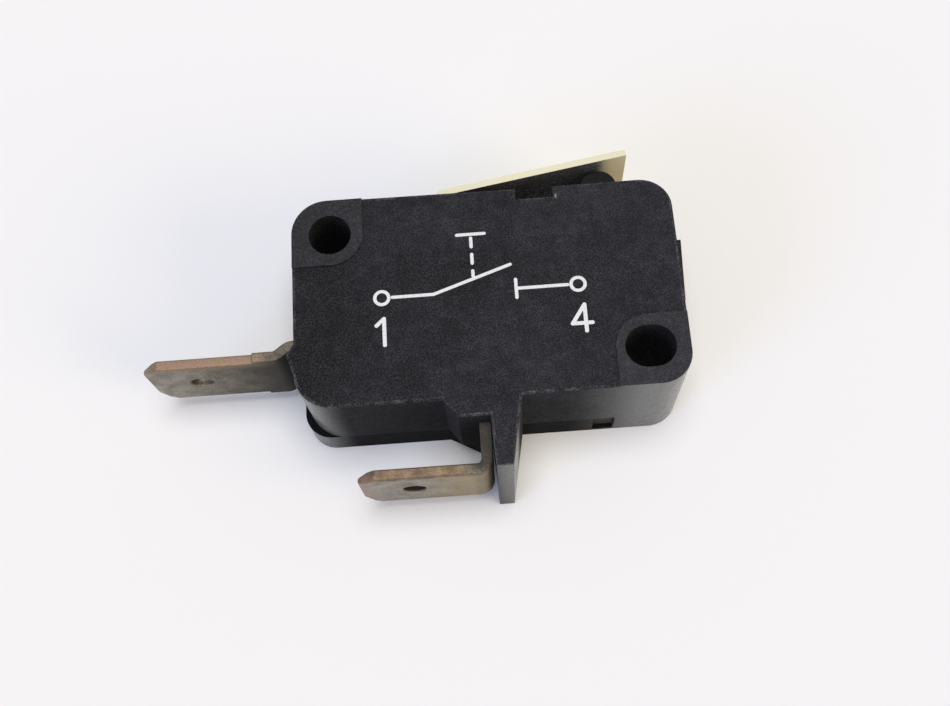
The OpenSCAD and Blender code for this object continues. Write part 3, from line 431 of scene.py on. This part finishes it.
def softened(node, roundings):
    """A joined-up copy of a CAD node with picked outer edges rounded; a rounding is a pick, a radius and its steps."""
    bpy.ops.object.select_all(action="DESELECT")
    piece = bpy.data.objects.new(node + "_finished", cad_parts[node].data.copy())
    bpy.context.scene.collection.objects.link(piece)
    piece.select_set(True)
    bpy.context.view_layer.objects.active = piece
    bpy.ops.mesh.customdata_custom_splitnormals_clear()
    piece.data.attributes.new("rubbed", "FLOAT", "FACE")
    # The second material place only marks the strips that a rounding makes.
    piece.data.materials.clear()
    piece.data.materials.append(None)
    piece.data.materials.append(None)
    bpy.ops.object.mode_set(mode="EDIT")
    bpy.ops.mesh.select_mode(type="EDGE")
    bpy.ops.mesh.select_all(action="SELECT")
    bpy.ops.mesh.remove_doubles(threshold=MERGE)
    bpy.ops.mesh.dissolve_limited(angle_limit=FLAT)
    for pick, radius, steps in roundings:
        bpy.ops.mesh.select_all(action="DESELECT")
        form = bmesh.from_edit_mesh(piece.data)
        for edge in form.edges:
            if edge.is_convex and edge.calc_face_angle() > CREASE:
                edge.select_set(pick(*(corner.co / MM for corner in edge.verts)))
        bmesh.update_edit_mesh(piece.data)
        bpy.ops.mesh.bevel(offset=radius * MM, segments=steps, affect="EDGES", clamp_overlap=True, material=1)
        form = bmesh.from_edit_mesh(piece.data)
        rubbed = form.faces.layers.float["rubbed"]
        for face in form.faces:
            if face.material_index == 1:
                face[rubbed] = 1.0
                face.material_index = 0
        bmesh.update_edit_mesh(piece.data)
    bpy.ops.object.mode_set(mode="OBJECT")
    bpy.ops.object.shade_smooth_by_angle(angle=CREASE)
    flats = piece.modifiers.new("flats", "WEIGHTED_NORMAL")
    flats.keep_sharp = True
    bpy.ops.object.modifier_apply(modifier="flats")
    return piece


# How far off a face of the case a point still counts as on it, in millimetres.
SLACK = 0.1


def skin(p):
    """Whether a point is on the outer skin of the case, and not in its hollow."""
    beside = p.x < CASE_LEFT + WALL - SLACK or p.x > CASE_RIGHT - WALL + SLACK
    along = p.y < CASE_LOW + WALL - SLACK or p.y > CASE_TOP - WALL + SLACK
    return beside or along or p.z > FACE_Z - 2 * SLACK or p.z < 2 * SLACK


def on_skin(a, b):
    """Edges of the case that can be seen from outside."""
    return skin(a) and skin(b)


def front_rim(a, b):
    """The outline of the front face, apart from the raised pads."""
    return min(a.z, b.z) > FACE_Z - SLACK / 2 and max(a.z, b.z) < FACE_Z + SLACK / 2 and on_skin(a, b)


def not_front_rim(a, b):
    """The other outer edges of the case."""
    return on_skin(a, b) and not front_rim(a, b)


def any_edge(a, b):
    """All the edges of a small piece."""
    return True


def outside_end(a, b):
    """Edges of the common terminal outside the case end."""
    return max(a.x, b.x) < CASE_LEFT + SLACK


def outside_bottom(a, b):
    """Edges of the contact terminal outside the case bottom."""
    return max(a.y, b.y) < CASE_LOW + SLACK


# Finished pieces, each on its body in its node's place, with radii in millimetres.
for node, body, slot, finish, roundings in (
        ("housing", BODY_CASE, "case_plastic", housing_finish, [(front_rim, 0.22, 4), (not_front_rim, 0.12, 3)]),
        ("cover", BODY_CASE, "cover_plastic", cover_finish, [(on_skin, 0.12, 3)]),
        ("plunger", BODY_PLUNGER, "plunger_plastic", plunger_finish, [(any_edge, 0.14, 3)]),
        ("lever", BODY_LEVER, "lever_steel", lever_finish, [(any_edge, 0.06, 2)]),
        ("common_terminal", BODY_CASE, "tinned_brass", terminal_finish, [(outside_end, 0.14, 3)]),
        ("contact_terminal", BODY_CASE, "tinned_brass", terminal_finish, [(outside_bottom, 0.14, 3)])):
    piece = softened(node, roundings)
    piece.data.materials.clear()
    piece.data.materials.append(finish)
    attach(piece, body)
    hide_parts(node)
# Pieces inside the case keep their solids.
for node, finish in (("lever_pin", pin_finish), ("blade", blade_finish), ("snap_spring", spring_finish),
                     ("moving_contact", contact_finish), ("fixed_contact", contact_finish)):
    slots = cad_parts[node].data.materials
    slots.clear()
    slots.append(finish)


def print_stroke(start, end, width):
    """A straight printed line with rounded ends, laid on the face."""
    reach = Vector(end) - Vector(start)
    bpy.ops.object.select_all(action="DESELECT")
    bpy.ops.mesh.primitive_plane_add(size=1.0)
    stroke = bpy.context.object
    bpy.ops.object.mode_set(mode="EDIT")
    bpy.ops.transform.resize(value=((reach.length + width) * MM, width * MM, 1.0))
    bpy.ops.mesh.bevel(offset=0.49 * width * MM, segments=4, affect="VERTICES")
    bpy.ops.object.mode_set(mode="OBJECT")
    middle = (Vector(start) + Vector(end)) / 2
    stroke.rotation_euler = (0.0, 0.0, math.atan2(reach.y, reach.x))
    stroke.location = Vector((middle.x, middle.y, FACE_Z)) * MM
    return stroke


def print_ring(centre, radius, width):
    """A printed terminal ring."""
    bpy.ops.object.select_all(action="DESELECT")
    bpy.ops.mesh.primitive_circle_add(vertices=40, radius=radius * MM, fill_type="NGON")
    ring = bpy.context.object
    bpy.ops.object.mode_set(mode="EDIT")
    bpy.ops.mesh.select_mode(type="FACE")
    bpy.ops.mesh.select_all(action="SELECT")
    bpy.ops.mesh.inset(thickness=width * MM)
    bpy.ops.mesh.delete(type="FACE")
    bpy.ops.object.mode_set(mode="OBJECT")
    ring.location = Vector((centre[0], centre[1], FACE_Z)) * MM
    return ring


# Printed contact diagram in millimetres: widths of lines and figures, radius of a ring, depth and steps of the ink,
# then terminal rings, leads with the open arm and its stop, the plunger's push, and the terminals' numbers.
LINE, FIGURE, RING = 0.24, 0.28, 0.62
INK_DEPTH, LIFT = 0.03, 0.001
RAIL, PUSH = -5.2, 10.2
RINGS = [(3.6, RAIL), (17.6, RAIL)]
LEADS = [((4.35, RAIL), (7.3, RAIL)), ((13.2, RAIL), (16.85, RAIL)), ((7.3, RAIL), (12.9, -3.3)),
         ((13.2, -5.9), (13.2, -4.5))]
PUSHES = [((PUSH, -1.0), (PUSH, -1.7)), ((PUSH, -2.3), (PUSH, -3.0)), ((PUSH, -3.6), (PUSH, -4.0)),
          ((9.2, -0.7), (11.2, -0.7))]
NUMBERS = [((3.7, -6.8), (3.7, -8.8)), ((3.7, -6.8), (3.15, -7.3)),
           ((17.9, -6.8), (17.9, -8.8)), ((17.9, -6.8), (16.95, -8.2)), ((16.95, -8.2), (18.35, -8.2))]
printed = [print_ring(centre, RING, LINE) for centre in RINGS]
printed += [print_stroke(start, end, LINE) for start, end in LEADS + PUSHES]
printed += [print_stroke(start, end, FIGURE) for start, end in NUMBERS]
bpy.ops.object.select_all(action="DESELECT")
# Each mark lies a hair above the last, so that crossing marks don't share a surface.
for order, mark in enumerate(printed):
    mark.select_set(True)
    mark.location.z += order * LIFT * MM
bpy.context.view_layer.objects.active = printed[0]
bpy.ops.object.join()
diagram = bpy.context.object
diagram.name = "printed_contact_diagram"
bpy.ops.object.transform_apply(location=True, rotation=True, scale=True)
ink = diagram.modifiers.new("ink", "SOLIDIFY")
ink.thickness = INK_DEPTH * MM
ink.offset = 0.0
bpy.ops.object.modifier_apply(modifier="ink")
diagram.data.materials.clear()
diagram.data.materials.append(ink_finish)
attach(diagram, BODY_CASE)

# White table, 3 m wide and a hair below the rear face: plain matt paper that takes the soft shadow.
table_finish, tree, output = new_finish("white_table")
matte = add(tree, "ShaderNodeBsdfDiffuse", None, {"Color": linear("#F8F8F8")})
tree.links.new(matte.outputs[0], output.inputs["Surface"])
bpy.ops.object.select_all(action="DESELECT")
bpy.ops.mesh.primitive_plane_add(size=3.0, location=Vector((10.0, -6.0, -0.02)) * MM)
table = bpy.context.object
table.name = "white_table"
table.data.materials.append(table_finish)

# Studio dome: faint as a light, and a pale room to the eye and to bright surfaces.
DOME_LIGHT, DOME_SEEN = 0.22, 0.93
world = bpy.data.worlds.new("studio_dome")
world.use_nodes = True
tree = world.node_tree
path = add(tree, "ShaderNodeLightPath")
shown = path.outputs["Is Camera Ray"]
for ray in ("Is Glossy Ray", "Is Transmission Ray"):
    shown = add(tree, "ShaderNodeMath", {"operation": "MAXIMUM"}, {0: shown, 1: path.outputs[ray]}).outputs[0]
level = add(tree, "ShaderNodeMapRange", None, {"Value": shown, "To Min": DOME_LIGHT, "To Max": DOME_SEEN})
tree.nodes["Background"].inputs["Color"].default_value = linear("#FFFCFE")
tree.links.new(level.outputs[0], tree.nodes["Background"].inputs["Strength"])
bpy.context.scene.world = world


def studio_light(name, towards, spread, level, colour):
    """A broad far light: where it stands, how wide it looks in degrees, and how much it adds to the table."""
    light = bpy.data.lights.new(name, "SUN")
    light.angle = math.radians(spread)
    light.energy = math.pi * level / Vector(towards).normalized().z
    light.color = linear(colour)[:3]
    lamp = bpy.data.objects.new(name, light)
    bpy.context.scene.collection.objects.link(lamp)
    lamp.location = Vector(towards) * MM
    lamp.rotation_euler = Vector(towards).to_track_quat("Z", "Y").to_euler()


# A soft light overhead, a cool one to the front left and a warm one to the front right.
studio_light("overhead_softbox", (19, -3, 495), 34, 0.62, "#FCFCFC")
studio_light("cool_window", (-310, -234, 195), 28, 0.11, "#A8BEFF")
studio_light("warm_window", (310, -174, 175), 31, 0.12, "#FFE2AC")
